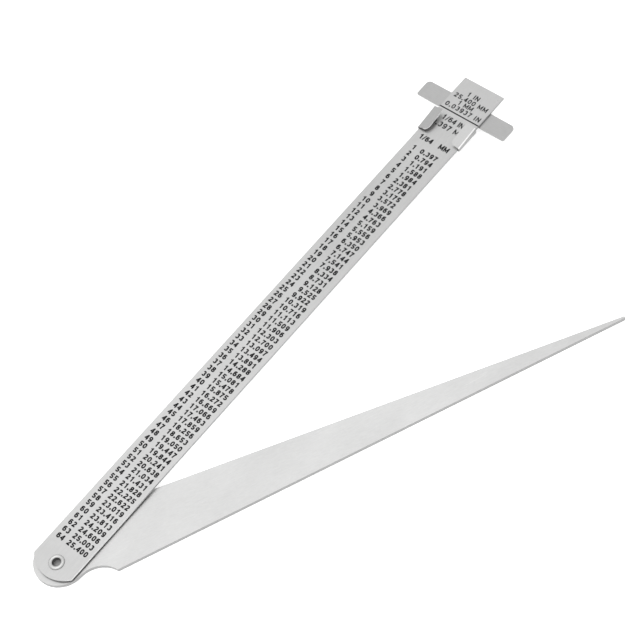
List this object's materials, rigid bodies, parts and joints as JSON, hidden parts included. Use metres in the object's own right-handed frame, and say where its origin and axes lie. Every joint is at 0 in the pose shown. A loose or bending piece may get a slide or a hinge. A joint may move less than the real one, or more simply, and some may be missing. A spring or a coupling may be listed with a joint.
{
  "type": "folding taper gauge",
  "caption": "Thin steel pocket rule with a long tapered gauge leaf riveted to one end, and a bent sheet depth clip that slides along the rule.",
  "frame": {"origin": "middle of the flat back face of the pivot rivet's solid head, on the hinge axis", "axes": "+Y along the rule from the pivot to its square free end, +Z out of the rule's printed face along the hinge axis, +X across the rule to the side the leaf is opened to"},
  "size_m": [0.0839, 0.1671, 0.0044],
  "materials": {
    "rule_steel": "satin stainless, fine grain along the length",
    "leaf_steel": "satin stainless, fine even grain",
    "clip_steel": "satin spring steel, a little darker than the rule",
    "rivet_steel": "smooth rolled steel, bright on the flange",
    "print_ink": "black printed figures and lines"
  },
  "bodies": {
    "rule": {"rule": "rule_steel", "pivot_rivet": "rivet_steel", "pivot_washer": "rivet_steel"},
    "leaf": {"taper_leaf": "leaf_steel"},
    "clip": {"depth_clip": "clip_steel"}
  },
  "joints": [
    {"name": "leaf_pivot", "type": "hinge", "parent": "rule", "child": "leaf", "pos_m": [0, 0, 0], "axis": [0, 0, 1], "continuous": true},
    {"name": "clip_slide", "type": "slide", "parent": "rule", "child": "clip", "axis": [0, 1, 0], "range_m": [-0.139, 0.0054]}
  ]
}
